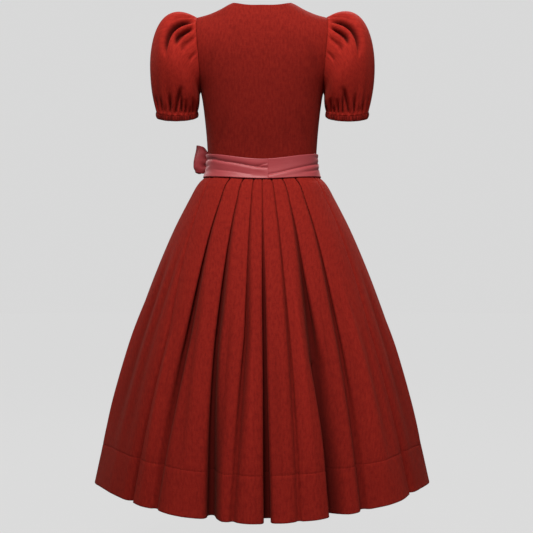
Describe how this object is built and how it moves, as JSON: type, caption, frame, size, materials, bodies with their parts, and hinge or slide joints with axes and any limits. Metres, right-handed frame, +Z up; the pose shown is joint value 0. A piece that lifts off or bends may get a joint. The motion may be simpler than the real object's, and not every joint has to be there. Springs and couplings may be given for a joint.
{
  "type": "dirndl",
  "caption": "Dirndl dress held open in its worn shape: fitted bodice with short puff sleeves, pleated midi skirt, and a satin apron whose tie ends in a bow at the side.",
  "frame": {"origin": "midway between the shoulders, at the height where the bodice's shoulder seams end, where a hanger, a dress form or a wearer holds the dress up", "axes": "+Z up along the body, +X to the wearer's left, -Y to the wearer's front, +Y to the back"},
  "size_m": [0.7992, 0.7904, 1.151],
  "materials": {
    "claret_cloth": "fine matte woven cloth with a slight nap, rust red",
    "rose_satin": "satin with a soft sheen and a fine grain along the ribbon, dusty rose"
  },
  "bodies": {
    "root": {"bodice_back": "claret_cloth", "bodice_front_left": "claret_cloth", "bodice_front_right": "claret_cloth", "sleeve_left": "claret_cloth", "sleeve_right": "claret_cloth", "cuff_left": "claret_cloth", "cuff_right": "claret_cloth", "skirt_back": "claret_cloth", "skirt_front": "claret_cloth", "apron": "rose_satin", "apron_band": "rose_satin", "tie": "rose_satin", "bow_knot": "rose_satin", "bow_loop_back": "rose_satin", "bow_loop_front": "rose_satin", "bow_tail_back": "rose_satin", "bow_tail_front": "rose_satin"}
  },
  "joints": []
}
